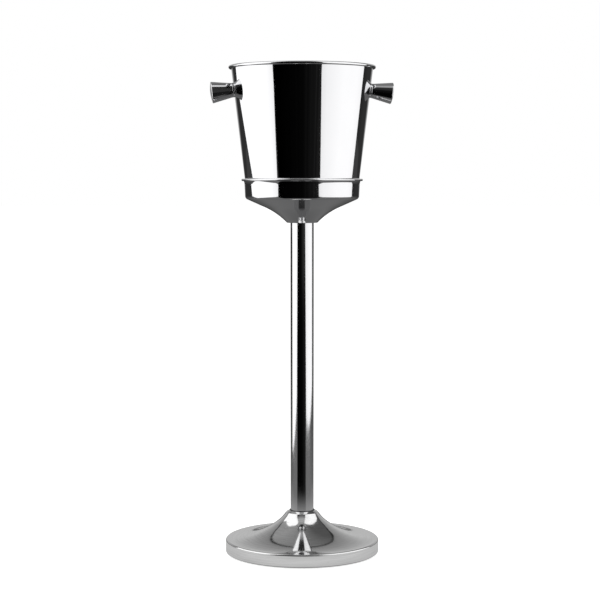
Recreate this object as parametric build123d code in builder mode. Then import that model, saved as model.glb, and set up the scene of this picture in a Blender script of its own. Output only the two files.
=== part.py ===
"""Champagne bucket stand: a weighted foot, a tube column, a spun cup and the bucket that stands in it.

Millimetres, +Z up, origin at the centre of the foot on the floor.  The two bucket knobs lie along X.
"""

import os
from math import asin, cos, radians, sin, tan

from build123d import *

# ---------------- driving dimensions
# Foot
FOOT_R = 116.0  # outside of the rim
FOOT_TOP_Z = 21.0  # flat ring of the foot
FOOT_SHEET = 1.0
FOOT_EDGE_R = 2.4
RIM_BOTTOM_Z = 1.5
HEM_INNER_R = 109.5
TRUMPET_WAIST_R = 40.7  # where the two sweeps of the trumpet meet
TRUMPET_WAIST_Z = 44.1
TRUMPET_WAIST_SLOPE = 36.0
TRUMPET_TOP_SLOPE = 55.0
TRUMPET_TOP_SWEEP = 70.0
LIP_SLOPE = 28.0
LIP_SWEEP = 4.0
LIP_INNER_R = 19.35
# Column
TUBE_R = 17.5
TUBE_WALL = 1.2
TUBE_BOTTOM_Z = 22.0
TUBE_TOP_Z = 500.15
# Ballast
BALLAST_R = 114.5
BALLAST_BOTTOM_Z = 2.6
BALLAST_TOP_Z = 14.0
BOSS_R = 30.0
BOSS_TOP_Z = 34.0
COUNTERBORE_R = 13.0
COUNTERBORE_TOP_Z = 14.6
# Pad
PAD_R = 109.0
PAD_T = 2.5
PAD_HOLE_R = 15.0
# Cup
CUP_SHEET = 0.9
CUP_FLOOR_Z = 500.2
CUP_FLOOR_R = 22.8
FUNNEL_ANGLE = 24.2
FUNNEL_END = (80.0, 534.3)
FUNNEL_SWEEP = 108.0
CUP_WALL_POINT = (85.4, 539.3)
CUP_WALL_TAPER = 3.1
CUP_CORNER_R = 6.0
CUP_FLARE = 25.0
CUP_FLARE_R = 12.0
CUP_BEAD = (89.3, 564.4)
CUP_BEAD_R = 1.75
# Bucket
BUCKET_SHEET = 0.8
BUCKET_TAPER = 6.95
BUCKET_BEAD = (107.6, 731.6)
BUCKET_BEAD_R = 2.4
BUCKET_BOTTOM_Z = 538.8
BUCKET_CORNER_R = 9.0
PANEL_R = 58.0
PANEL_RISE = 2.0
CURL = 290.0
# Seat ring
SEAT_INNER_R = 67.0
SEAT_OUTER_R = 79.5
SEAT_TOP_Z = 538.5
SEAT_GAP = 0.35
# Knobs
KNOB_Z = 697.7
KNOB_NECK_R = 10.5
KNOB_END_R = 16.1
KNOB_CONE_END = 33.5
KNOB_TIP = 35.5
COLLAR_R = 10.8
COLLAR_END = 2.2
KNOB_SCREW_R = 3.0
# Fits
CLEAR = 0.05

os.makedirs("parts", exist_ok=True)


def meet(p, angle_p, q, angle_q):
    """Point where the line through p and the line through q cross, angles in degrees from +X."""
    ux, uy = cos(radians(angle_p)), sin(radians(angle_p))
    vx, vy = cos(radians(angle_q)), sin(radians(angle_q))
    along = ((q[0] - p[0]) * vy - (q[1] - p[1]) * vx) / (ux * vy - uy * vx)
    return (p[0] + along * ux, p[1] + along * uy)


def curl_start(centre, radius, lean):
    """Point where a wall leaning out by `lean` degrees runs into a bead rolled outward."""
    return (centre[0] - radius * cos(radians(lean)), centre[1] + radius * sin(radians(lean)))


def heading(lean):
    """Unit vector up a wall leaning out by `lean` degrees."""
    return (sin(radians(lean)), cos(radians(lean)))


def rolled_bead(start, lean, inner_r, sheet):
    """Lines round a sheet edge rolled outward from the top of a leaning wall."""
    up = heading(lean)
    inner_skin = (start[0] - sheet * up[1], start[1] + sheet * up[0])
    hollow = JernArc(start, up, inner_r, -CURL)
    crown = JernArc(inner_skin, up, inner_r + sheet, -CURL)
    Line(hollow @ 0, crown @ 0)
    Line(hollow @ 1, crown @ 1)


def keep(part, name):
    """Label a finished sub-part and write its file."""
    part.label = name
    export_step(part, f"parts/{name}.step")


# ---------------- bucket lines shared by several parts
bucket_curl_r = BUCKET_BEAD_R - BUCKET_SHEET
bucket_wall_top = curl_start(BUCKET_BEAD, bucket_curl_r, BUCKET_TAPER)


def bucket_wall_r(z):
    """Outside radius of the bucket wall at height z."""
    return bucket_wall_top[0] - (bucket_wall_top[1] - z) * tan(radians(BUCKET_TAPER))


def cup_underside_z(r):
    """Height of the straight part of the funnel's underside at radius r."""
    return FUNNEL_END[1] + (r - FUNNEL_END[0]) * tan(radians(FUNNEL_ANGLE))


# ================ STAND
# ---------------- foot cover, one spun sheet
waist = (TRUMPET_WAIST_R, TRUMPET_WAIST_Z)
waist_sin, waist_cos = sin(radians(TRUMPET_WAIST_SLOPE)), cos(radians(TRUMPET_WAIST_SLOPE))
trumpet_sweep = (TRUMPET_WAIST_Z - FOOT_TOP_Z) / (1 - waist_cos)
trumpet_foot = (TRUMPET_WAIST_R + trumpet_sweep * waist_sin, FOOT_TOP_Z)
top_sin, top_cos = sin(radians(TRUMPET_TOP_SLOPE)), cos(radians(TRUMPET_TOP_SLOPE))
lip_length = (
    TRUMPET_WAIST_R
    - TRUMPET_TOP_SWEEP * (top_sin - waist_sin)
    - LIP_SWEEP * (top_sin - sin(radians(LIP_SLOPE)))
    - LIP_INNER_R
) / cos(radians(LIP_SLOPE))

with BuildPart() as base_shell:
    with BuildSketch(Plane.XZ):
        with BuildLine():
            rim = FilletPolyline(
                (HEM_INNER_R, RIM_BOTTOM_Z),
                (FOOT_R, RIM_BOTTOM_Z),
                (FOOT_R, FOOT_TOP_Z),
                trumpet_foot,
                radius=(1.4, FOOT_EDGE_R),
            )
            lower_sweep = JernArc(trumpet_foot, (-1, 0), trumpet_sweep, -TRUMPET_WAIST_SLOPE)
            upper_sweep = JernArc(
                lower_sweep @ 1,
                (-waist_cos, waist_sin),
                TRUMPET_TOP_SWEEP,
                TRUMPET_WAIST_SLOPE - TRUMPET_TOP_SLOPE,
            )
            shoulder = JernArc(
                upper_sweep @ 1,
                (-top_cos, top_sin),
                LIP_SWEEP,
                TRUMPET_TOP_SLOPE - LIP_SLOPE,
            )
            PolarLine(shoulder @ 1, lip_length, 180 - LIP_SLOPE)
            offset(amount=FOOT_SHEET, side=Side.LEFT)
        make_face()
    revolve(axis=Axis.Z)
keep(base_shell.part, "base_shell")

# ---------------- cast ballast disc with the column socket
with BuildPart() as ballast_weight:
    with Locations((0, 0, BALLAST_BOTTOM_Z)):
        Cylinder(
            BALLAST_R,
            BALLAST_TOP_Z - BALLAST_BOTTOM_Z,
            align=(Align.CENTER, Align.CENTER, Align.MIN),
        )
        Cylinder(
            BOSS_R,
            BOSS_TOP_Z - BALLAST_BOTTOM_Z,
            align=(Align.CENTER, Align.CENTER, Align.MIN),
        )
    boss_root = ballast_weight.edges().filter_by(GeomType.CIRCLE).group_by(Axis.Z)[1]
    fillet(boss_root.sort_by(SortBy.RADIUS)[0], radius=6.0)
    fillet(ballast_weight.edges().filter_by(GeomType.CIRCLE).group_by(Axis.Z)[-1], radius=2.0)
    disc_rim = ballast_weight.edges().filter_by(GeomType.CIRCLE).sort_by(SortBy.RADIUS)[-2:]
    chamfer(disc_rim, length=1.5)
    with BuildSketch(Plane.XY.offset(TUBE_BOTTOM_Z - CLEAR)):
        Circle(TUBE_R + CLEAR)
    extrude(amount=BOSS_TOP_Z, mode=Mode.SUBTRACT)
    with BuildSketch(Plane.XY.offset(BALLAST_BOTTOM_Z - 1)):
        Circle(COUNTERBORE_R)
    extrude(amount=COUNTERBORE_TOP_Z - BALLAST_BOTTOM_Z + 1, mode=Mode.SUBTRACT)
    with BuildSketch(Plane.XY):
        Circle(5.5)
    extrude(amount=BOSS_TOP_Z, mode=Mode.SUBTRACT)
keep(ballast_weight.part, "ballast_weight")

# ---------------- rubber floor pad
with BuildPart() as base_pad:
    with BuildSketch():
        Circle(PAD_R)
        Circle(PAD_HOLE_R, mode=Mode.SUBTRACT)
    extrude(amount=PAD_T)
    chamfer(base_pad.edges().group_by(Axis.Z)[0].sort_by(SortBy.RADIUS)[-1], length=0.6)
keep(base_pad.part, "base_pad")

# ---------------- nylon bush in the mouth of the foot cover
with BuildPart() as neck_bush:
    with BuildSketch(Plane.XZ):
        with BuildLine():
            Polyline(
                (TUBE_R + CLEAR, 54.0),
                (TUBE_R + 1.25, 54.0),
                (TUBE_R + 1.25, 64.6),
                (TUBE_R + 0.95, 64.9),
                (TUBE_R + CLEAR, 64.9),
                close=True,
            )
        make_face()
    revolve(axis=Axis.Z)
keep(neck_bush.part, "neck_bush")

# ---------------- column
with BuildPart() as column_tube:
    with BuildSketch(Plane.XY.offset(TUBE_BOTTOM_Z)):
        Circle(TUBE_R)
        Circle(TUBE_R - TUBE_WALL, mode=Mode.SUBTRACT)
    extrude(amount=TUBE_TOP_Z - TUBE_BOTTOM_Z)
keep(column_tube.part, "column_tube")


def plug(bottom_z, height, thread_r):
    """Round threaded plug that fills the tube bore."""
    with BuildPart() as body:
        with BuildSketch(Plane.XY.offset(bottom_z)):
            Circle(TUBE_R - TUBE_WALL - CLEAR)
            Circle(thread_r, mode=Mode.SUBTRACT)
        extrude(amount=height)
        chamfer(body.edges().filter_by(GeomType.CIRCLE).sort_by(SortBy.RADIUS)[-2:], length=1.0)
    return body.part


keep(plug(TUBE_BOTTOM_Z + CLEAR, 22.0, 5.0), "lower_plug")
keep(plug(TUBE_TOP_Z - 20.0 - CLEAR, 20.0, 4.0), "upper_plug")


# ---------------- fasteners
def ring(inner_r, outer_r, thickness, bottom_z):
    """Flat washer lying at height bottom_z."""
    with BuildPart() as washer:
        with BuildSketch(Plane.XY.offset(bottom_z)):
            Circle(outer_r)
            Circle(inner_r, mode=Mode.SUBTRACT)
        extrude(amount=thickness)
        chamfer(washer.edges().filter_by(GeomType.CIRCLE), length=0.15)
    return washer.part


def split_ring(inner_r, outer_r, thickness, bottom_z):
    """Spring washer with its slanting cut."""
    with BuildPart() as washer:
        with BuildSketch(Plane.XY.offset(bottom_z)):
            Circle(outer_r)
            Circle(inner_r, mode=Mode.SUBTRACT)
        extrude(amount=thickness)
        with Locations(Location((0.5 * (inner_r + outer_r), 0, bottom_z + 0.5 * thickness), (25, 0, 0))):
            Box(outer_r, 1.1, 4 * thickness, mode=Mode.SUBTRACT)
    return washer.part


def hex_bolt(shank_r, shank_length, flats, head_height, under_head_z, up):
    """Hexagon bolt on the Z axis; up is +1 when the shank points up and -1 when it points down."""
    face = Plane(origin=(0, 0, under_head_z), x_dir=(1, 0, 0), z_dir=(0, 0, up))
    with BuildPart() as bolt:
        with BuildSketch(face):
            RegularPolygon(0.5 * flats, 6, major_radius=False)
        extrude(amount=-head_height)
        with BuildSketch(face.offset(-head_height)):
            Circle(0.5 * flats)
        extrude(amount=head_height, taper=-30, mode=Mode.INTERSECT)
        with BuildSketch(face):
            Circle(shank_r)
        extrude(amount=shank_length)
        tip = bolt.faces().sort_by(Axis.Z)[-1 if up > 0 else 0]
        chamfer(tip.edges(), length=0.18 * shank_r)
    return bolt.part


washer_z = COUNTERBORE_TOP_Z - 2.0 - CLEAR
spring_z = washer_z - 2.4 - CLEAR
keep(ring(5.3, 10.5, 2.0, washer_z), "base_washer")
keep(split_ring(5.2, 9.2, 2.4, spring_z), "base_spring_washer")
keep(hex_bolt(4.95, 26.0, 17.0, 6.3, spring_z - CLEAR, 1), "base_bolt")

cup_washer_z = CUP_FLOOR_Z + CUP_SHEET + CLEAR
cup_spring_z = cup_washer_z + 1.6 + CLEAR
cup_head_z = cup_spring_z + 2.0 + CLEAR
keep(ring(4.3, 11.5, 1.6, cup_washer_z), "cup_washer")
keep(split_ring(4.2, 7.4, 2.0, cup_spring_z), "cup_spring_washer")
keep(hex_bolt(3.95, 20.0, 13.0, 5.3, cup_head_z, -1), "cup_bolt")

# ---------------- cup, one spun sheet from bolt hole to rolled lip
cup_curl_r = CUP_BEAD_R - CUP_SHEET
cup_lip_start = curl_start(CUP_BEAD, cup_curl_r, CUP_FLARE)
cup_floor_corner = (CUP_FLOOR_R, CUP_FLOOR_Z)
funnel_knee = meet(cup_floor_corner, 45, FUNNEL_END, FUNNEL_ANGLE)
cup_corner = meet(FUNNEL_END, FUNNEL_ANGLE, CUP_WALL_POINT, 90 - CUP_WALL_TAPER)
cup_flare_start = meet(CUP_WALL_POINT, 90 - CUP_WALL_TAPER, cup_lip_start, 90 - CUP_FLARE)

with BuildPart() as holder_cup:
    with BuildSketch(Plane.XZ):
        with BuildLine():
            FilletPolyline(
                (4.5, CUP_FLOOR_Z),
                cup_floor_corner,
                funnel_knee,
                cup_corner,
                cup_flare_start,
                cup_lip_start,
                radius=(1.5, FUNNEL_SWEEP, CUP_CORNER_R, CUP_FLARE_R),
            )
            offset(amount=CUP_SHEET, side=Side.LEFT)
        make_face()
        with BuildLine():
            rolled_bead(cup_lip_start, CUP_FLARE, cup_curl_r, CUP_SHEET)
        make_face()
    revolve(axis=Axis.Z)
keep(holder_cup.part, "holder_cup")

# ================ SEAT RING
seat_lift = (CUP_SHEET + SEAT_GAP) / cos(radians(FUNNEL_ANGLE))

with BuildPart() as seat_ring:
    with BuildSketch(Plane.XZ):
        with BuildLine():
            FilletPolyline(
                (SEAT_INNER_R, cup_underside_z(SEAT_INNER_R) + seat_lift),
                (SEAT_OUTER_R, cup_underside_z(SEAT_OUTER_R) + seat_lift),
                (SEAT_OUTER_R, SEAT_TOP_Z),
                (SEAT_INNER_R, SEAT_TOP_Z),
                radius=0.8,
                close=True,
            )
        make_face()
    revolve(axis=Axis.Z)
keep(seat_ring.part, "seat_ring")

# ================ BUCKET
# ---------------- frames of the two knobs
knob_wall_r = bucket_wall_r(KNOB_Z)
tilt = radians(BUCKET_TAPER)
KNOB_SIDES = {"right": 1, "left": -1}


def knob_plane(side):
    """Plane whose x runs out along the knob axis from the outer wall face."""
    return Plane(
        origin=(side * knob_wall_r, 0, KNOB_Z),
        x_dir=(side * cos(tilt), 0, -sin(tilt)),
        z_dir=(0, -side, 0),
    )


def knob_axis(side):
    """Axis of the knob, pointing out of the bucket."""
    return Axis((side * knob_wall_r, 0, KNOB_Z), (side * cos(tilt), 0, -sin(tilt)))


def knob_face(side, out):
    """Plane square to the knob axis, at distance `out` from the outer wall face."""
    lay = knob_axis(side)
    return Plane(origin=lay.position + lay.direction * out, x_dir=(0, 1, 0), z_dir=lay.direction)


# ---------------- bucket, one spun sheet with two screw holes
bucket_foot_corner = (bucket_wall_r(BUCKET_BOTTOM_Z), BUCKET_BOTTOM_Z)
panel_z = BUCKET_BOTTOM_Z + PANEL_RISE

with BuildPart() as bucket_shell:
    with BuildSketch(Plane.XZ):
        with BuildLine():
            FilletPolyline(
                (0, panel_z),
                (PANEL_R, panel_z),
                (PANEL_R + 3.5, BUCKET_BOTTOM_Z),
                bucket_foot_corner,
                bucket_wall_top,
                radius=(2.0, 2.0, BUCKET_CORNER_R),
            )
            offset(amount=BUCKET_SHEET, side=Side.LEFT)
        make_face()
        with BuildLine():
            rolled_bead(bucket_wall_top, BUCKET_TAPER, bucket_curl_r, BUCKET_SHEET)
        make_face()
    revolve(axis=Axis.Z)
    for sign in KNOB_SIDES.values():
        with BuildSketch(knob_face(sign, 5)):
            Circle(KNOB_SCREW_R + 0.2)
        extrude(amount=-12, mode=Mode.SUBTRACT)
keep(bucket_shell.part, "bucket_shell")

# ---------------- tapered bodies that cut parts to the bucket wall
low_z, high_z = KNOB_Z - 30, KNOB_Z + 30

with BuildPart() as wall_outside:
    with BuildSketch(Plane.XZ):
        with BuildLine():
            Polyline(
                (0, low_z),
                (bucket_wall_r(low_z) + 0.02, low_z),
                (bucket_wall_r(high_z) + 0.02, high_z),
                (0, high_z),
                close=True,
            )
        make_face()
    revolve(axis=Axis.Z)

inner_step = BUCKET_SHEET / cos(tilt) + 0.02

with BuildPart() as wall_inside:
    with BuildSketch(Plane.XZ):
        with BuildLine():
            Polyline(
                (0, low_z),
                (bucket_wall_r(low_z) - inner_step, low_z),
                (bucket_wall_r(high_z) - inner_step, high_z),
                (0, high_z),
                close=True,
            )
        make_face()
    revolve(axis=Axis.Z)

# ---------------- knobs and what holds them
gasket_back = 2.9
washer_back = gasket_back + 1.0 + 0.02
head_height = 3.4
dome_rise = KNOB_TIP - KNOB_CONE_END
dome_r = (KNOB_END_R**2 + dome_rise**2) / (2 * dome_rise)
dome_half = 0.5 * asin(KNOB_END_R / dome_r)
dome_middle = (KNOB_TIP - dome_r * (1 - cos(dome_half)), dome_r * sin(dome_half))

for side_name, sign in KNOB_SIDES.items():
    with BuildPart() as knob_collar:
        with BuildSketch(knob_face(sign, -1.5)):
            Circle(COLLAR_R)
            Circle(KNOB_SCREW_R + 0.2, mode=Mode.SUBTRACT)
        extrude(amount=COLLAR_END + 1.5)
        add(wall_outside.part, mode=Mode.SUBTRACT)
        crown = knob_collar.edges().filter_by(GeomType.CIRCLE).sort_by(SortBy.RADIUS)[-1]
        fillet(crown, radius=0.4)
    keep(knob_collar.part, f"knob_collar_{side_name}")

    with BuildPart() as knob:
        with BuildSketch(knob_plane(sign)):
            with BuildLine():
                Polyline(
                    (KNOB_TIP, 0),
                    (COLLAR_END + 0.02, 0),
                    (COLLAR_END + 0.02, KNOB_NECK_R),
                    (KNOB_CONE_END, KNOB_END_R),
                )
                ThreePointArc((KNOB_CONE_END, KNOB_END_R), dome_middle, (KNOB_TIP, 0))
            make_face()
        revolve(axis=knob_axis(sign))
        rims = knob.edges().filter_by(GeomType.CIRCLE)
        fillet(rims.filter_by(lambda rim: abs(rim.radius - KNOB_END_R) < 0.01), radius=1.2)
        with BuildSketch(knob_face(sign, 0)):
            Circle(KNOB_SCREW_R)
        extrude(amount=19, mode=Mode.SUBTRACT)
    keep(knob.part, f"knob_{side_name}")

    with BuildPart() as knob_gasket:
        with BuildSketch(knob_face(sign, -gasket_back)):
            Circle(8.4)
            Circle(KNOB_SCREW_R + 0.1, mode=Mode.SUBTRACT)
        extrude(amount=gasket_back)
        add(wall_inside.part, mode=Mode.INTERSECT)
    keep(knob_gasket.part, f"knob_gasket_{side_name}")

    with BuildPart() as knob_washer:
        with BuildSketch(knob_face(sign, -washer_back)):
            Circle(8.0)
            Circle(KNOB_SCREW_R + 0.2, mode=Mode.SUBTRACT)
        extrude(amount=1.0)
    keep(knob_washer.part, f"knob_washer_{side_name}")

    with BuildPart() as knob_screw:
        with BuildSketch(knob_face(sign, -washer_back - 0.02)):
            Circle(5.7)
        extrude(amount=-head_height)
        head_rims = knob_screw.edges().filter_by(GeomType.CIRCLE).sort_by(knob_axis(sign))
        fillet(head_rims[0], radius=1.6)
        with BuildSketch(knob_face(sign, -washer_back - 0.02)):
            Circle(KNOB_SCREW_R - CLEAR)
        extrude(amount=20)
        with BuildSketch(knob_face(sign, -washer_back - 0.02 - head_height)):
            RegularPolygon(2.0, 6, major_radius=False)
        extrude(amount=1.9, mode=Mode.SUBTRACT)
    keep(knob_screw.part, f"knob_screw_{side_name}")
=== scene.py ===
"""Looks of the champagne bucket stand: spun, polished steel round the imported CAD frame.

Metres, +Z up, the CAD frame's own origin.  The knobs lie along X and the camera stands on the -Y side.
"""

import math

import bpy
from mathutils import Matrix, Vector


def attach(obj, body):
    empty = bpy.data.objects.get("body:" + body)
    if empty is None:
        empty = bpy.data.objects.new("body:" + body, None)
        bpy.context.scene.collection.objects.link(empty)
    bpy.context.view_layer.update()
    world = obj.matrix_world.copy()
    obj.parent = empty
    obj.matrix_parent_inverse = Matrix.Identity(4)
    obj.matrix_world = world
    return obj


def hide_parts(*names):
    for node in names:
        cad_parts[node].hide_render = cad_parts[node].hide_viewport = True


MM = 0.001
ON_THE_AXIS = 1e-7  # a radius below this is a point on the axis

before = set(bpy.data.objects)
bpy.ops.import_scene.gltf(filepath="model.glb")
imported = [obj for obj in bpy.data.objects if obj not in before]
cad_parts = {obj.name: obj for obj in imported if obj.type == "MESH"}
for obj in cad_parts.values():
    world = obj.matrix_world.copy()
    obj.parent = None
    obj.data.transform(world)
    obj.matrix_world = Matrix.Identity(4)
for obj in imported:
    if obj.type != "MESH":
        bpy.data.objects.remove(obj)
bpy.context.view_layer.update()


# ---------------------------------------------------------------- outlines
class Track:
    """A drawn outline in (r, z), kept as dense samples of (r, z, heading in radians)."""

    def __init__(self, r, z, heading):
        self.r, self.z, self.heading = r, z, math.radians(heading)
        self.samples = [(r, z, self.heading)]

    def line(self, length, step=6 * MM):
        count = max(1, math.ceil(length / step))
        r0, z0 = self.r, self.z
        for i in range(1, count + 1):
            run = length * i / count
            self.r = r0 + run * math.cos(self.heading)
            self.z = z0 + run * math.sin(self.heading)
            self.samples.append((self.r, self.z, self.heading))
        return self

    def arc(self, radius, turn, step=2.5 * MM):
        """Turns left for a positive turn in degrees and right for a negative one."""
        angle = math.radians(turn)
        side = 1 if angle > 0 else -1
        count = max(6, math.ceil(abs(turn) / 7), math.ceil(abs(angle) * radius / step))
        centre_r = self.r - side * radius * math.sin(self.heading)
        centre_z = self.z + side * radius * math.cos(self.heading)
        start = self.heading
        for i in range(1, count + 1):
            self.heading = start + angle * i / count
            self.r = centre_r + side * radius * math.sin(self.heading)
            self.z = centre_z - side * radius * math.cos(self.heading)
            self.samples.append((self.r, self.z, self.heading))
        return self


def filleted(points, radii):
    """Track through the corners of a polyline, each inner corner rounded to its radius."""
    first, second = Vector(points[0]), Vector(points[1])
    run = second - first
    track = Track(first.x, first.y, math.degrees(math.atan2(run.y, run.x)))
    used = 0.0
    for before, corner, after, radius in zip(points, points[1:], points[2:], radii):
        arriving = Vector(corner) - Vector(before)
        leaving = Vector(after) - Vector(corner)
        turn = math.atan2(arriving.x * leaving.y - arriving.y * leaving.x, arriving.dot(leaving))
        cut = radius * math.tan(abs(turn) / 2)
        track.line(arriving.length - used - cut)
        track.arc(radius, math.degrees(turn))
        used = cut
    last = Vector(points[-1]) - Vector(points[-2])
    track.line(last.length - used)
    return track


def meet(p, angle_p, q, angle_q):
    """Where the line through p crosses the line through q, angles in degrees from +r."""
    ux, uy = math.cos(math.radians(angle_p)), math.sin(math.radians(angle_p))
    vx, vy = math.cos(math.radians(angle_q)), math.sin(math.radians(angle_q))
    along = ((q[0] - p[0]) * vy - (q[1] - p[1]) * vx) / (ux * vy - uy * vx)
    return (p[0] + along * ux, p[1] + along * uy)


def sheet(track, thickness):
    """Closed loop (r, z, normal r, normal z) of a sheet whose outer skin is the track.

    The metal lies on the track's left, and both cut edges are rounded off.
    """
    half = thickness / 2
    loop = []
    for r, z, heading in track.samples:
        loop.append((r, z, math.sin(heading), -math.cos(heading)))
    loop += round_end(track.samples[-1], half, True)
    for r, z, heading in reversed(track.samples):
        left = (-math.sin(heading), math.cos(heading))
        loop.append((r + thickness * left[0], z + thickness * left[1], *left))
    if track.samples[0][0] > ON_THE_AXIS:
        loop += round_end(track.samples[0], half, False)
    return loop


def round_end(sample, half, at_tail):
    """Half-round edge of a sheet at one end of its track."""
    r, z, heading = sample
    left = (-math.sin(heading), math.cos(heading))
    forward = (math.cos(heading), math.sin(heading))
    sign = 1 if at_tail else -1
    centre = (r + half * left[0], z + half * left[1])
    points = []
    for i in range(1, 6):
        a = math.pi * i / 6
        n = [
            sign * (-math.cos(a) * left[k]) + sign * math.sin(a) * forward[k]
            for k in (0, 1)
        ]
        points.append((centre[0] + half * n[0], centre[1] + half * n[1], *n))
    return points


def turned_loop(corners, radii):
    """Closed loop of a solid ring; its corners run anticlockwise and end on the point they start from."""
    samples = filleted(corners, radii).samples[:-1]
    return [(r, z, math.sin(h), -math.cos(h)) for r, z, h in samples]


def flat_ring(inner, outer, bottom, top, edge):
    """Closed loop of a flat ring with rounded edges, begun half-way along its underside."""
    middle = ((inner + outer) / 2, bottom)
    corners = [middle, (outer, bottom), (outer, top), (inner, top), (inner, bottom), middle]
    return turned_loop(corners, [edge] * 4)


# ---------------------------------------------------------------- turning outlines into meshes
def lathe(name, loop, segments, closed=True, place=None, shape=None):
    """Revolved mesh with exact normals; u runs round the axis and v along the outline, in metres."""
    verts, normals, rings = [], [], []
    for r, z, nr, nz in loop:
        if r < ON_THE_AXIS:
            rings.append([len(verts)] * segments)
            verts.append((0, 0, z))
            normals.append((0, 0, nz))
            continue
        ring = []
        for i in range(segments):
            a = 2 * math.pi * i / segments + math.pi / 2
            ring.append(len(verts))
            verts.append((r * math.cos(a), r * math.sin(a), z))
            normals.append((nr * math.cos(a), nr * math.sin(a), nz))
        rings.append(ring)
    if shape:
        verts = [shape(*v) for v in verts]
    runs = [0.0]
    order = loop + loop[:1] if closed else loop
    for a, b in zip(order, order[1:]):
        runs.append(runs[-1] + math.hypot(b[0] - a[0], b[1] - a[1]))
    faces, uvs = [], []
    count = len(rings) if closed else len(rings) - 1
    for k in range(count):
        low, high = rings[k], rings[(k + 1) % len(rings)]
        if low[0] == low[1] and high[0] == high[1]:
            continue
        for i in range(segments):
            j = (i + 1) % segments
            corners = [
                (low[i], i / segments, runs[k]),
                (low[j], (i + 1) / segments, runs[k]),
                (high[j], (i + 1) / segments, runs[k + 1]),
                (high[i], i / segments, runs[k + 1]),
            ]
            kept = []
            for corner in corners:
                if corner[0] not in [c[0] for c in kept]:
                    kept.append(corner)
            faces.append([c[0] for c in kept])
            uvs += [(c[1], c[2]) for c in kept]
    mesh = bpy.data.meshes.new(name)
    mesh.from_pydata(verts, [], faces)
    layer = mesh.uv_layers.new(name="spin")
    for corner, uv in zip(layer.data, uvs):
        corner.uv = uv
    mesh.shade_smooth()
    if not shape:
        mesh.normals_split_custom_set_from_vertices([Vector(n).normalized() for n in normals])
    piece = bpy.data.objects.new(name, mesh)
    bpy.context.scene.collection.objects.link(piece)
    if place:
        piece.matrix_world = place
    return piece


# ---------------------------------------------------------------- materials
class Nodes:
    """Shorthand for wiring one material's or world's nodes."""

    def __init__(self, tree):
        self.tree = tree
        tree.nodes.clear()

    def add(self, kind, inputs=None, **settings):
        node = self.tree.nodes.new(kind)
        for key, value in settings.items():
            setattr(node, key, value)
        for key, value in (inputs or {}).items():
            if isinstance(value, bpy.types.NodeSocket):
                self.tree.links.new(value, node.inputs[key])
            else:
                node.inputs[key].default_value = value
        return node

    def mix(self, factor, a, b, blend="MIX"):
        """Colour between a and b."""
        node = self.add("ShaderNodeMix", data_type="RGBA", blend_type=blend)
        sockets = [s for s in node.inputs if s.type == "RGBA"]
        for socket, value in ((node.inputs[0], factor), (sockets[0], a), (sockets[1], b)):
            if isinstance(value, bpy.types.NodeSocket):
                self.tree.links.new(value, socket)
            else:
                socket.default_value = value
        return [s for s in node.outputs if s.type == "RGBA"][0]

    def math(self, operation, a, b=0.0, clamp=False):
        return self.add("ShaderNodeMath", {0: a, 1: b}, operation=operation, use_clamp=clamp).outputs[0]

    def spread(self, value, low, high, to_low=0.0, to_high=1.0):
        node = self.add(
            "ShaderNodeMapRange",
            {"Value": value, "From Min": low, "From Max": high, "To Min": to_low, "To Max": to_high},
        )
        return node.outputs["Result"]

    def noise(self, vector, scale, detail=2.0, roughness=0.5):
        node = self.add(
            "ShaderNodeTexNoise",
            {"Vector": vector, "Scale": scale, "Detail": detail, "Roughness": roughness},
        )
        return node.outputs["Fac"]

    def ramp(self, value, stops):
        """Grey level read off a list of (value, level) stops in rising order."""
        first, last = stops[0][0], stops[-1][0]
        node = self.add("ShaderNodeValToRGB", {"Fac": self.spread(value, first, last)})
        elements = node.color_ramp.elements
        elements.remove(elements[1])
        elements[0].position = 0.0
        elements[0].color = (*[stops[0][1]] * 3, 1)
        for at, level in stops[1:]:
            element = elements.new((at - first) / (last - first))
            element.color = (level, level, level, 1)
        return node.outputs["Color"]

    def spin_vector(self, around, along):
        """Seamless coordinates on a turned piece: `around` cells round it, `along` per metre of outline."""
        uv = self.add("ShaderNodeSeparateXYZ", {0: self.add("ShaderNodeTexCoord").outputs["UV"]})
        angle = self.math("MULTIPLY", uv.outputs["X"], 2 * math.pi)
        return self.add(
            "ShaderNodeCombineXYZ",
            {
                0: self.math("MULTIPLY", self.math("COSINE", angle), around),
                1: self.math("MULTIPLY", self.math("SINE", angle), around),
                2: self.math("MULTIPLY", uv.outputs["Y"], along),
            },
        ).outputs[0]


def new_material(name):
    material = bpy.data.materials.new(name)
    material.use_nodes = True
    return material, Nodes(material.node_tree)


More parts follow.
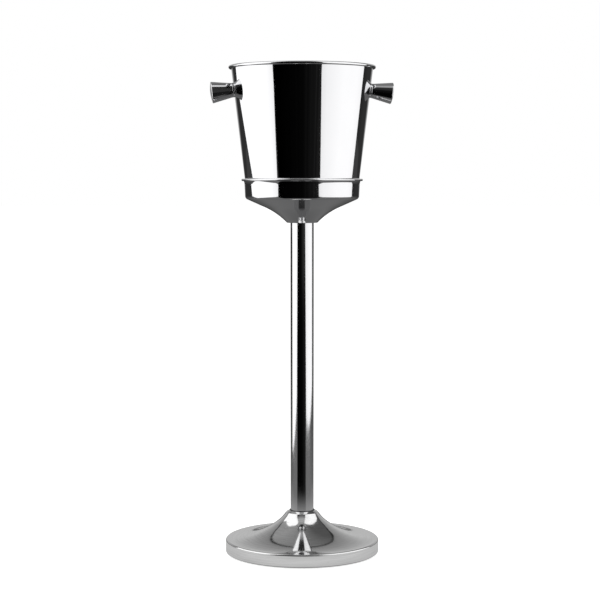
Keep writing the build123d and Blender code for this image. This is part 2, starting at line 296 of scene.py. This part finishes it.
def polished(name, tint, rough_low, rough_high, line_depth, wave_depth, scratch=0.25):
    """Polished spun steel: spinning marks, slow waves left by the roller, hairlines and a little haze."""
    material, n = new_material(name)
    lines = n.noise(n.spin_vector(0.9, 2600), 1.0, 3.0, 0.6)
    waves = n.noise(n.spin_vector(1.4, 55), 1.0, 1.0)
    haze = n.noise(n.spin_vector(2.2, 18), 1.0, 4.0, 0.6)
    hair = n.noise(n.spin_vector(60, 420), 1.0, 2.0, 0.7)
    marks = n.spread(hair, 0.68, 0.8)
    roughness = n.math(
        "ADD",
        n.spread(haze, 0.35, 0.75, rough_low, rough_high),
        n.math("MULTIPLY", marks, scratch * rough_high),
    )
    height = n.math(
        "ADD",
        n.math("MULTIPLY", lines, line_depth),
        n.math("MULTIPLY", waves, wave_depth),
    )
    bump = n.add("ShaderNodeBump", {"Height": height, "Strength": 1.0, "Distance": 1.0})
    shade = n.spread(haze, 0.2, 0.8, 0.97, 1.0)
    grey = n.add("ShaderNodeCombineColor", {0: shade, 1: shade, 2: shade}).outputs[0]
    colour = n.mix(1.0, (*tint, 1), grey, "MULTIPLY")
    shader = n.add(
        "ShaderNodeBsdfPrincipled",
        {
            "Base Color": colour,
            "Metallic": 1.0,
            "Roughness": roughness,
            "Normal": bump.outputs[0],
        },
    )
    n.add("ShaderNodeOutputMaterial", {"Surface": shader.outputs[0]})
    return material


def brushed(name, tint, roughness, anisotropic, line_depth, wave_depth):
    """Steel brushed round its axis: blurred across the brushing, sharp along it."""
    material, n = new_material(name)
    lines = n.noise(n.spin_vector(0.7, 2200), 1.0, 3.0, 0.6)
    waves = n.noise(n.spin_vector(5.0, 90), 1.0, 2.0)
    patches = n.noise(n.spin_vector(1.6, 24), 1.0, 3.0, 0.6)
    height = n.math("ADD", n.math("MULTIPLY", lines, line_depth), n.math("MULTIPLY", waves, wave_depth))
    bump = n.add("ShaderNodeBump", {"Height": height, "Strength": 1.0, "Distance": 1.0})
    streaks = n.noise(n.spin_vector(2.4, 700), 1.0, 2.0, 0.6)
    shade = n.math(
        "MULTIPLY",
        n.spread(patches, 0.25, 0.75, 0.95, 1.0),
        n.spread(streaks, 0.3, 0.6, 0.9, 1.0),
    )
    grey = n.add("ShaderNodeCombineColor", {0: shade, 1: shade, 2: shade}).outputs[0]
    shader = n.add(
        "ShaderNodeBsdfPrincipled",
        {
            "Base Color": n.mix(1.0, (*tint, 1), grey, "MULTIPLY"),
            "Metallic": 1.0,
            "Roughness": n.spread(patches, 0.3, 0.7, roughness * 0.9, roughness * 1.1),
            "Anisotropic": anisotropic,
            "Anisotropic Rotation": 0.25,
            "Tangent": n.add("ShaderNodeTangent", direction_type="RADIAL", axis="Z").outputs[0],
            "Normal": bump.outputs[0],
        },
    )
    n.add("ShaderNodeOutputMaterial", {"Surface": shader.outputs[0]})
    return material


def block_metal(name, tint, dark, roughness, grain, depth, metallic=1.0):
    """Metal of a part made without the lathe: a fine grain, darker worn patches and brighter rubbed edges."""
    material, n = new_material(name)
    place = n.add("ShaderNodeTexCoord").outputs["Object"]
    fine = n.noise(place, grain, 3.0, 0.65)
    broad = n.noise(place, grain / 9, 3.0, 0.6)
    edge = n.spread(n.add("ShaderNodeNewGeometry").outputs["Pointiness"], 0.52, 0.62)
    worn = n.math("ADD", n.spread(broad, 0.35, 0.7), n.math("MULTIPLY", edge, 0.6), clamp=True)
    colour = n.mix(worn, (*dark, 1), (*tint, 1))
    bump = n.add("ShaderNodeBump", {"Height": fine, "Strength": 0.6, "Distance": depth})
    shader = n.add(
        "ShaderNodeBsdfPrincipled",
        {
            "Base Color": colour,
            "Metallic": metallic,
            "Roughness": n.spread(fine, 0.3, 0.7, roughness * 0.85, roughness * 1.2),
            "Normal": bump.outputs[0],
        },
    )
    n.add("ShaderNodeOutputMaterial", {"Surface": shader.outputs[0]})
    return material


def moulded(name, low, high, roughness, grain, depth):
    """Rubber or nylon: mould grain, a dusty bloom and scuffed high spots."""
    material, n = new_material(name)
    place = n.add("ShaderNodeTexCoord").outputs["Object"]
    skin = n.noise(place, grain, 4.0, 0.7)
    bloom = n.noise(place, 38.0, 4.0, 0.65)
    edge = n.spread(n.add("ShaderNodeNewGeometry").outputs["Pointiness"], 0.52, 0.6, 0.0, 0.5)
    colour = n.mix(n.math("ADD", n.spread(bloom, 0.35, 0.75), edge, clamp=True), (*low, 1), (*high, 1))
    bump = n.add("ShaderNodeBump", {"Height": skin, "Strength": 0.7, "Distance": depth})
    shader = n.add(
        "ShaderNodeBsdfPrincipled",
        {
            "Base Color": colour,
            "Roughness": n.spread(bloom, 0.3, 0.7, roughness - 0.08, roughness + 0.08),
            "Specular IOR Level": 0.4,
            "Normal": bump.outputs[0],
        },
    )
    n.add("ShaderNodeOutputMaterial", {"Surface": shader.outputs[0]})
    return material


steel_bucket = polished("steel_bucket", (0.86, 0.86, 0.87), 0.02, 0.06, 1.5e-7, 6e-6)
steel_cup = polished("steel_cup", (0.85, 0.85, 0.86), 0.04, 0.09, 3e-7, 6e-6)
steel_tube = polished("steel_tube", (0.84, 0.84, 0.85), 0.07, 0.11, 1e-7, 2e-6)
steel_knob = polished("steel_knob", (0.84, 0.84, 0.85), 0.05, 0.1, 2e-7, 1e-6)
steel_washer = polished("steel_washer", (0.6, 0.6, 0.6), 0.16, 0.26, 6e-7, 1e-6)
steel_foot = brushed("steel_foot", (0.86, 0.86, 0.86), 0.09, 0.7, 3e-7, 2.5e-5)
cast_iron = block_metal("cast_iron", (0.11, 0.105, 0.1), (0.045, 0.043, 0.042), 0.62, 900.0, 4e-4, 0.6)
turned_steel = block_metal("turned_steel", (0.56, 0.56, 0.57), (0.36, 0.355, 0.35), 0.34, 2600.0, 6e-5)
zinc_hardware = block_metal("zinc_hardware", (0.66, 0.67, 0.69), (0.42, 0.42, 0.41), 0.3, 2200.0, 5e-5)
bush_nylon = moulded("bush_nylon", (0.018, 0.018, 0.019), (0.04, 0.04, 0.042), 0.42, 1500.0, 3e-5)
pad_rubber = moulded("pad_rubber", (0.022, 0.021, 0.02), (0.06, 0.058, 0.055), 0.8, 700.0, 2e-4)
seat_rubber = moulded("seat_rubber", (0.02, 0.02, 0.02), (0.045, 0.045, 0.045), 0.66, 1100.0, 1e-4)
gasket_rubber = moulded("gasket_rubber", (0.025, 0.025, 0.025), (0.06, 0.06, 0.058), 0.7, 1300.0, 8e-5)


# ---------------------------------------------------------------- the turned pieces
BUCKET_TAPER = 6.95
BUCKET_BEAD = (107.6 * MM, 731.6 * MM)
BUCKET_BEAD_R = 2.4 * MM
BUCKET_SHEET = 0.8 * MM
BUCKET_BOTTOM = 538.8 * MM
BUCKET_PANEL_R = 58 * MM
BUCKET_PANEL_RISE = 2 * MM
BUCKET_PANEL_STEP = 3.5 * MM
BUCKET_PANEL_BEND_R = 2 * MM
BUCKET_CORNER_R = 9 * MM
CUP_SHEET = 0.9 * MM
CUP_FLOOR = 500.2 * MM
CUP_FLOOR_R = 22.8 * MM
CUP_FLOOR_BEND_R = 1.5 * MM
CUP_BOLT_HOLE_R = 4.5 * MM
FUNNEL_START_ANGLE = 45
CUP_BEAD = (89.3 * MM, 564.4 * MM)
CUP_BEAD_R = 1.75 * MM
CUP_FLARE = 25
FUNNEL_ANGLE = 24.2
FUNNEL_END = (80 * MM, 534.3 * MM)
FUNNEL_SWEEP = 108 * MM
CUP_WALL_POINT = (85.4 * MM, 539.3 * MM)
CUP_WALL_TAPER = 3.1
CUP_CORNER_R = 6 * MM
CUP_FLARE_R = 12 * MM
CURL = 290
TUBE_R = 17.5 * MM
TUBE_WALL = 1.2 * MM
TUBE_BOTTOM = 22 * MM
TUBE_TOP = 500.15 * MM
FOOT_R = 116 * MM
FOOT_TOP = 21 * MM
FOOT_SHEET = 1 * MM
FOOT_EDGE_R = 2.4 * MM
HEM_R = 109.5 * MM
HEM_BOTTOM = 1.5 * MM
HEM_EDGE_R = 1.4 * MM
TRUMPET_WAIST = (40.7 * MM, 44.1 * MM)
TRUMPET_SLOPE = 36
TRUMPET_TOP_SLOPE = 55
TRUMPET_TOP_SWEEP = 70 * MM
LIP_SLOPE = 28
LIP_SWEEP = 4 * MM
LIP_INNER_R = 19.35 * MM
SEAT_RING = (67 * MM, 79.5 * MM, 538.5 * MM)
SEAT_GAP = 0.35 * MM
KNOB_Z = 697.7 * MM
KNOB_NECK_R = 10.5 * MM
KNOB_END_R = 16.1 * MM
KNOB_CONE_END = 33.5 * MM
KNOB_TIP = 35.5 * MM
COLLAR_R = 10.8 * MM
COLLAR_END = 2.2 * MM
SCREW_HOLE_R = 3.2 * MM
KNOB_GAP = 0.02 * MM  # between a knob and its collar
KNOB_BACK_EDGE_R = 0.5 * MM
KNOB_FRONT_EDGE_R = 1.2 * MM
COLLAR_BACK = 0.05 * MM
COLLAR_EDGE_R = 0.4 * MM
COLLAR_SEAT = 0.5 * MM  # what lies below this follows the wall
KNOB_WASHER_R = 8 * MM
KNOB_WASHER_BACK = -3.92 * MM
KNOB_WASHER_FRONT = -2.92 * MM
PAD_HOLE_R = 15 * MM
PAD_R = 109 * MM
PAD_T = 2.5 * MM
PAD_EDGE_R = 0.5 * MM
BUSH_BORE_R = TUBE_R + 0.05 * MM
BUSH_R = TUBE_R + 1.25 * MM
BUSH_BOTTOM = 54 * MM
BUSH_TOP = 64.9 * MM
BUSH_EDGE_R = 0.3 * MM
SEAT_EDGE_R = 0.8 * MM
WASHER_EDGE_R = 0.2 * MM
AXIS_WASHERS = {  # bore, outside radius, underside, top
    "base_washer": (5.3 * MM, 10.5 * MM, 12.55 * MM, 14.55 * MM),
    "cup_washer": (4.3 * MM, 11.5 * MM, 501.15 * MM, 502.75 * MM),
}
# Facets round the axis
FINE = 288
MEDIUM = 160
SMALL = 128


def dress(piece, material, node, body):
    """Gives a new piece its material, hides the CAD node it replaces and attaches it to its body."""
    piece.data.materials.append(material)
    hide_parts(node)
    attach(piece, body)


def curl_start(centre, radius, lean):
    """Where a wall leaning out by `lean` degrees runs into a bead rolled outward."""
    return (
        centre[0] - radius * math.cos(math.radians(lean)),
        centre[1] + radius * math.sin(math.radians(lean)),
    )


bucket_curl = BUCKET_BEAD_R - BUCKET_SHEET
bucket_top = curl_start(BUCKET_BEAD, bucket_curl, BUCKET_TAPER)


def bucket_r(z):
    """Outside radius of the bucket wall at height z."""
    return bucket_top[0] - (bucket_top[1] - z) * math.tan(math.radians(BUCKET_TAPER))


def build_bucket():
    """Tapered bucket: raised bottom panel, rounded foot, plain wall and a rim rolled outward."""
    panel_top = BUCKET_BOTTOM + BUCKET_PANEL_RISE
    track = filleted(
        [
            (0, panel_top),
            (BUCKET_PANEL_R, panel_top),
            (BUCKET_PANEL_R + BUCKET_PANEL_STEP, BUCKET_BOTTOM),
            (bucket_r(BUCKET_BOTTOM), BUCKET_BOTTOM),
            bucket_top,
        ],
        [BUCKET_PANEL_BEND_R, BUCKET_PANEL_BEND_R, BUCKET_CORNER_R],
    ).arc(bucket_curl, -CURL)
    bucket = lathe("bucket_spun", sheet(track, BUCKET_SHEET), FINE)
    dress(bucket, steel_bucket, "bucket_shell", "bucket")


def build_cup():
    """Holder cup: flat floor round the bolt hole, concave funnel, short wall, flare and rolled lip."""
    curl = CUP_BEAD_R - CUP_SHEET
    lip = curl_start(CUP_BEAD, curl, CUP_FLARE)
    floor_corner = (CUP_FLOOR_R, CUP_FLOOR)
    wall_angle = 90 - CUP_WALL_TAPER
    track = filleted(
        [
            (CUP_BOLT_HOLE_R, CUP_FLOOR),
            floor_corner,
            meet(floor_corner, FUNNEL_START_ANGLE, FUNNEL_END, FUNNEL_ANGLE),
            meet(FUNNEL_END, FUNNEL_ANGLE, CUP_WALL_POINT, wall_angle),
            meet(CUP_WALL_POINT, wall_angle, lip, 90 - CUP_FLARE),
            lip,
        ],
        [CUP_FLOOR_BEND_R, FUNNEL_SWEEP, CUP_CORNER_R, CUP_FLARE_R],
    ).arc(curl, -CURL)
    cup = lathe("cup_spun", sheet(track, CUP_SHEET), FINE)
    dress(cup, steel_cup, "holder_cup", "stand")


def build_column():
    """Polished tube, open at both ends."""
    track = Track(TUBE_R, TUBE_BOTTOM, 90).line(TUBE_TOP - TUBE_BOTTOM)
    tube = lathe("column_polished", sheet(track, TUBE_WALL), MEDIUM)
    dress(tube, steel_tube, "column_tube", "stand")


def build_foot():
    """Foot cover: inward hem, upright rim, flat ring, trumpet in two sweeps and a small shoulder."""
    waist_r, waist_z = TRUMPET_WAIST
    slope = math.radians(TRUMPET_SLOPE)
    sweep = (waist_z - FOOT_TOP) / (1 - math.cos(slope))
    track = filleted(
        [
            (HEM_R, HEM_BOTTOM),
            (FOOT_R, HEM_BOTTOM),
            (FOOT_R, FOOT_TOP),
            (waist_r + sweep * math.sin(slope), FOOT_TOP),
        ],
        [HEM_EDGE_R, FOOT_EDGE_R],
    )
    track.arc(sweep, -TRUMPET_SLOPE)
    track.arc(TRUMPET_TOP_SWEEP, TRUMPET_SLOPE - TRUMPET_TOP_SLOPE)
    track.arc(LIP_SWEEP, TRUMPET_TOP_SLOPE - LIP_SLOPE)
    track.line((track.r - LIP_INNER_R) / math.cos(math.radians(LIP_SLOPE)))
    foot = lathe("foot_spun", sheet(track, FOOT_SHEET), FINE)
    dress(foot, steel_foot, "base_shell", "stand")


def build_rings():
    """Rubber, nylon and washer rings on the main axis."""
    pad = lathe("pad_moulded", flat_ring(PAD_HOLE_R, PAD_R, 0, PAD_T, PAD_EDGE_R), FINE)
    dress(pad, pad_rubber, "base_pad", "stand")

    bush_loop = flat_ring(BUSH_BORE_R, BUSH_R, BUSH_BOTTOM, BUSH_TOP, BUSH_EDGE_R)
    bush = lathe("bush_turned", bush_loop, SMALL)
    dress(bush, bush_nylon, "neck_bush", "stand")

    inner, outer, top = SEAT_RING
    rise = math.tan(math.radians(FUNNEL_ANGLE))
    lift = (CUP_SHEET + SEAT_GAP) / math.cos(math.radians(FUNNEL_ANGLE))
    under = [(r, FUNNEL_END[1] + (r - FUNNEL_END[0]) * rise + lift) for r in (inner, outer)]
    middle = ((under[0][0] + under[1][0]) / 2, (under[0][1] + under[1][1]) / 2)
    seat_corners = [middle, under[1], (outer, top), (inner, top), under[0], middle]
    seat = lathe("seat_moulded", turned_loop(seat_corners, [SEAT_EDGE_R] * 4), FINE)
    dress(seat, seat_rubber, "seat_ring", "seat")

    for node, extents in AXIS_WASHERS.items():
        washer = lathe(f"{node}_cut", flat_ring(*extents, WASHER_EDGE_R), SMALL)
        dress(washer, steel_washer, node, "stand")


def on_the_wall(x, y, z):
    """Lets the back of a collar down on the round wall behind it."""
    if z > COLLAR_SEAT:
        return (x, y, z)
    wall = bucket_r(KNOB_Z) / math.cos(math.radians(BUCKET_TAPER))
    return (x, y, z + math.sqrt(wall * wall - x * x) - wall)


def build_knob(side_name, side):
    """Cone knob widening to its domed end, with its collar outside the wall and its washer inside."""
    tilt = math.radians(BUCKET_TAPER)
    out = Vector((side * math.cos(tilt), 0, -math.sin(tilt)))
    across = Vector((0, 1, 0))
    up = out.cross(across)
    turned = Matrix((across, up, out)).transposed().to_4x4()
    place = Matrix.Translation((side * bucket_r(KNOB_Z), 0, KNOB_Z)) @ turned

    back = COLLAR_END + KNOB_GAP
    cone = [(0, back), (KNOB_NECK_R, back), (KNOB_END_R, KNOB_CONE_END)]
    dome_rise = KNOB_TIP - KNOB_CONE_END
    dome_r = (KNOB_END_R**2 + dome_rise**2) / (2 * dome_rise)
    track = filleted([*cone, (0, KNOB_TIP)], [KNOB_BACK_EDGE_R, KNOB_FRONT_EDGE_R])
    loop = []
    for r, z, h in track.samples:
        on_dome = z > KNOB_CONE_END and r < KNOB_END_R - 2 * KNOB_FRONT_EDGE_R
        crown = KNOB_TIP - dome_r + math.sqrt(dome_r**2 - r * r) if on_dome else z
        loop.append((r, crown, math.sin(h), -math.cos(h)))
    knob = lathe(f"knob_turned_{side_name}", loop, SMALL, closed=False, place=place)
    dress(knob, steel_knob, f"knob_{side_name}", "bucket")

    collar_loop = flat_ring(SCREW_HOLE_R, COLLAR_R, COLLAR_BACK, COLLAR_END, COLLAR_EDGE_R)
    collar = lathe(f"collar_turned_{side_name}", collar_loop, SMALL, place=place, shape=on_the_wall)
    dress(collar, steel_knob, f"knob_collar_{side_name}", "bucket")

    washer_loop = flat_ring(
        SCREW_HOLE_R, KNOB_WASHER_R, KNOB_WASHER_BACK, KNOB_WASHER_FRONT, WASHER_EDGE_R
    )
    washer = lathe(f"knob_washer_cut_{side_name}", washer_loop, SMALL, place=place)
    dress(washer, steel_washer, f"knob_washer_{side_name}", "bucket")


build_bucket()
build_cup()
build_column()
build_foot()
build_rings()
build_knob("right", 1)
build_knob("left", -1)

# ---------------------------------------------------------------- CAD nodes that stay in sight
CARRIED_OVER = {
    "ballast_weight": cast_iron,
    "lower_plug": turned_steel,
    "upper_plug": turned_steel,
    "base_bolt": zinc_hardware,
    "base_spring_washer": zinc_hardware,
    "cup_bolt": zinc_hardware,
    "cup_spring_washer": zinc_hardware,
    "knob_screw_left": zinc_hardware,
    "knob_screw_right": zinc_hardware,
    "knob_gasket_left": gasket_rubber,
    "knob_gasket_right": gasket_rubber,
}
for node, material in CARRIED_OVER.items():
    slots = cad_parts[node].data.materials
    slots.clear()
    slots.append(material)

# ---------------------------------------------------------------- stage: floor, panels, world
AZIMUTH = -5.0
CARD_STRENGTH = 1.25
FLOOR_HALF, FLOOR_Z = 30, -0.0002
SEEN_FLOOR_HALF, SEEN_FLOOR_Z = 6, -0.001
turned_by = math.radians(AZIMUTH)
turn = Matrix.Rotation(turned_by, 4, "Z")


def panel(name, corners, material, camera=False, glossy=True, diffuse=True):
    """Flat stage piece given in coordinates where the camera stands on -Y; returns its mesh."""
    mesh = bpy.data.meshes.new(name)
    mesh.from_pydata([turn @ Vector(c) for c in corners], [], [range(len(corners))])
    mesh.materials.append(material)
    flat = bpy.data.objects.new(name, mesh)
    bpy.context.scene.collection.objects.link(flat)
    flat.visible_camera = camera
    flat.visible_glossy = glossy
    flat.visible_diffuse = diffuse
    flat.visible_shadow = False
    return mesh


def square(half, z):
    """Corners of a level square centred on the column."""
    return [(-half, -half, z), (half, -half, z), (half, half, z), (-half, half, z)]


def upright(name, start, end, outline, material):
    """Upright stage panel on the ground line start-end; its outline is (share of the line, height)."""
    ground = [Vector(start).lerp(Vector(end), share) for share, _ in outline]
    mesh = panel(name, [(g.x, g.y, height) for g, (_, height) in zip(ground, outline)], material)
    layer = mesh.uv_layers.new(name="spread")
    for corner, uv in zip(layer.data, outline):
        corner.uv = uv


def lit_card(name, stops):
    """Card that glows by the share of its ground line, given as (share, strength) stops."""
    material, n = new_material(name)
    share = n.add("ShaderNodeSeparateXYZ", {0: n.add("ShaderNodeTexCoord").outputs["UV"]}).outputs["X"]
    light = n.add("ShaderNodeEmission", {"Color": n.ramp(share, stops), "Strength": CARD_STRENGTH})
    n.add("ShaderNodeOutputMaterial", {"Surface": light.outputs[0]})
    return material


upright(
    "card_left",
    (-1.53, -1.35),
    (-0.71, 0.76),
    [
        (0.13, 0),
        (0.79, 0),
        (0.81, 0.45),
        (0.96, 0.68),
        (0.85, 0.9),
        (0.85, 1.7),
        (0.77, 2.3),
        (0.68, 3.5),
        (0.3, 6.0),
        (-0.04, 7.5),
        (-0.04, 0.36),
    ],
    lit_card("card_left", [(-0.04, 0.80), (0.15, 0.90), (0.4, 1.0), (1.0, 1.0)]),
)
upright(
    "card_right",
    (0.72, -1.41),
    (1.84, 0.95),
    [
        (0.165, 0),
        (1.0, 0),
        (1.0, 1.6),
        (0.81, 2.45),
        (0.71, 3.5),
        (0.56, 4.5),
        (0.3, 6.0),
        (0.045, 7.5),
        (0.049, 0.47),
    ],
    lit_card("card_right", [(0.04, 0.74), (0.165, 0.84), (0.42, 0.93), (0.7, 0.93), (1.0, 0.86)]),
)

floor_material, n = new_material("pale_floor")
glow = n.add("ShaderNodeEmission", {"Color": (1, 1, 1, 1), "Strength": 0.72})
matte = n.add("ShaderNodeBsdfDiffuse", {"Color": (0.8, 0.8, 0.8, 1)})
both = n.add("ShaderNodeAddShader", {0: glow.outputs[0], 1: matte.outputs[0]})
n.add("ShaderNodeOutputMaterial", {"Surface": both.outputs[0]})
panel(
    "floor",
    square(FLOOR_HALF, FLOOR_Z),
    floor_material,
    camera=True,
    glossy=False,
)

# What the steel sees of the floor, a glowing stand-in with painted light in its glow: a painted pool of light
# close in, darker further out, and a black cloth across the front.
# The camera never sees it.  Rays that come down steeply, as from under the cup, find it dark: painted shade
# under the cup and bucket.
sheen_material, n = new_material("floor_seen_in_steel")
level = n.add(
    "ShaderNodeMapping",
    {"Vector": n.add("ShaderNodeTexCoord").outputs["Object"], "Rotation": (0, 0, -turned_by)},
)
spot = n.add("ShaderNodeSeparateXYZ", {0: level.outputs[0]})
x, y = spot.outputs["X"], spot.outputs["Y"]
radius = n.math("SQRT", n.math("ADD", n.math("MULTIPLY", x, x), n.math("MULTIPLY", y, y)))
bearing = n.math("ARCTAN2", x, n.math("MULTIPLY", y, -1.0))
# Painted light: the glow stands in for how the floor is lit, brightest in a ring close round the foot and
# falling off further out, the front lit brighter than the back.
front = n.ramp(
    radius,
    [
        (0.0, 0.3),
        (0.12, 0.55),
        (0.17, 0.68),
        (0.2, 0.58),
        (0.25, 0.34),
        (0.36, 0.3),
        (0.47, 0.17),
        (1.2, 0.15),
        (3.0, 0.06),
        (4.0, 0.02),
    ],
)
back = n.ramp(
    radius,
    [(0.0, 0.2), (0.12, 0.45), (0.3, 0.4), (0.4, 0.25), (0.6, 0.14), (1.2, 0.1), (3.0, 0.05)],
)
frontness = n.spread(y, 0.2, -0.1)
# Painted shade: steep rays, as from the funnel under the cup, see a dim floor that stands in for the shade
# beneath the bucket and cup.
straight_down = n.spread(n.add("ShaderNodeLayerWeight", {"Blend": 0.5}).outputs["Facing"], 0.6, 0.4)
painted_shade_under_cup = n.spread(radius, 0.1, 0.6, 0.12, 0.15)
tone = n.mix(straight_down, n.mix(frontness, back, front), painted_shade_under_cup)
cloth_left = n.spread(bearing, math.radians(-50), math.radians(-47))
cloth_right = n.spread(bearing, math.radians(40), math.radians(34))
cloth_near = n.spread(radius, 0.28, 0.50)
cloth = n.math("MULTIPLY", n.math("MULTIPLY", cloth_left, cloth_right), cloth_near)
weave = n.add("ShaderNodeCombineXYZ", {0: n.math("MULTIPLY", bearing, 14.0)}).outputs[0]
folds = n.spread(n.noise(weave, 1.0, 4.0, 0.7), 0.35, 0.7, 0.3, 1.6)
cloth_level = n.ramp(bearing, [(-0.7, 0.0), (0.0, 0.002), (0.35, 0.008), (0.7, 0.02)])
cloth_tone = n.math("MULTIPLY", cloth_level, folds)
dimmed = n.mix(cloth, tone, cloth_tone)
light = n.add("ShaderNodeEmission", {"Color": dimmed, "Strength": 1.0})
n.add("ShaderNodeOutputMaterial", {"Surface": light.outputs[0]})
panel(
    "floor_in_reflections",
    square(SEEN_FLOOR_HALF, SEEN_FLOOR_Z),
    sheen_material,
    diffuse=False,
)

BACKDROP_RISE = 0.87  # height of the backdrop's top edge over its distance
world = bpy.data.worlds.new("studio")
bpy.context.scene.world = world
world.use_nodes = True
n = Nodes(world.node_tree)
path = n.add("ShaderNodeLightPath")
heading = n.add(
    "ShaderNodeMapping",
    {"Vector": n.add("ShaderNodeTexCoord").outputs["Generated"], "Rotation": (0, 0, -turned_by)},
)
way = n.add("ShaderNodeSeparateXYZ", {0: heading.outputs[0]})
bearing = n.math("ARCTAN2", way.outputs["X"], n.math("MULTIPLY", way.outputs["Y"], -1.0))
round_room = n.ramp(
    bearing,
    [
        (-math.pi, 0.035),
        (math.radians(-100), 0.04),
        (math.radians(-60), 0.002),
        (math.radians(-10), 0.002),
        (math.radians(20), 0.03),
        (math.radians(35), 0.035),
        (math.radians(100), 0.008),
        (math.radians(140), 0.008),
        (math.radians(165), 0.03),
        (math.pi, 0.035),
    ],
)
rise = way.outputs["Z"]
across_the_room = n.spread(way.outputs["X"], -0.3, 0.3, 0.32, 0.09)
towards_camera = n.spread(way.outputs["Y"], 0.05, -0.25)
overhead = n.mix(towards_camera, across_the_room, n.spread(rise, 0.84, 0.93, 0.03, 0.42))
sides = n.mix(n.spread(rise, 0.35, 0.6), round_room, overhead)
sweep = n.ramp(rise, [(-0.03, 0.03), (0.0, 0.5), (0.21, 0.54), (0.34, 0.4), (0.51, 0.29), (0.7, 0.2)])
over_the_top = n.math("SUBTRACT", rise, n.math("MULTIPLY", way.outputs["Y"], BACKDROP_RISE))
off_front = n.math("ABSOLUTE", bearing)
well_lit = n.math(
    "MAXIMUM",
    n.spread(off_front, math.radians(152), math.radians(168)),
    n.spread(rise, 0.08, 0.16),
)
lit_sweep = n.mix(well_lit, (0.03, 0.03, 0.03, 1), sweep)
backdrop = n.mix(n.spread(over_the_top, -0.01, 0.01), lit_sweep, overhead)
behind = n.spread(off_front, math.radians(105), math.radians(135))
wobble = n.spread(n.noise(heading.outputs[0], 9.0, 2.0), 0.3, 0.7, -0.03, 0.03)
from_edge = n.math("ABSOLUTE", n.math("ADD", over_the_top, wobble))
top_edge = n.math("MULTIPLY", n.spread(from_edge, 0.045, 0.02), behind)
room = n.mix(top_edge, n.mix(behind, sides, backdrop), (0.008, 0.008, 0.008, 1))
white = n.add("ShaderNodeBackground", {"Color": (1, 1, 1, 1), "Strength": 1.0})
dark = n.add("ShaderNodeBackground", {"Color": room, "Strength": 1.0})
soft = n.add("ShaderNodeBackground", {"Color": (1, 1, 1, 1), "Strength": 0.6})
indirect = n.add(
    "ShaderNodeMixShader",
    {0: path.outputs["Is Diffuse Ray"], 1: dark.outputs[0], 2: soft.outputs[0]},
)
seen = n.add(
    "ShaderNodeMixShader",
    {0: path.outputs["Is Camera Ray"], 1: indirect.outputs[0], 2: white.outputs[0]},
)
n.add("ShaderNodeOutputWorld", {"Surface": seen.outputs[0]})

# ---------------------------------------------------------------- camera
LENS, SENSOR_WIDTH = 97.4, 36  # millimetres
DISTANCE, EYE = 2.44, 0.567
PITCH, YAW = 4.294, 0.075  # degrees down and aside
camera_data = bpy.data.cameras.new("camera")
camera_data.lens = LENS
camera_data.sensor_width = SENSOR_WIDTH
camera = bpy.data.objects.new("camera", camera_data)
bpy.context.scene.collection.objects.link(camera)
bpy.context.scene.camera = camera
stand_off = turn @ Vector((0, -DISTANCE, EYE))
swing = Matrix.Rotation(math.radians(AZIMUTH + YAW), 4, "Z")
aim = swing @ Matrix.Rotation(math.radians(90 - PITCH), 4, "X")
camera.matrix_world = Matrix.Translation(stand_off) @ aim
camera_data.clip_start, camera_data.clip_end = 0.05, 60

bpy.context.scene.view_settings.view_transform = "Standard"
bpy.context.scene.view_settings.look = "None"
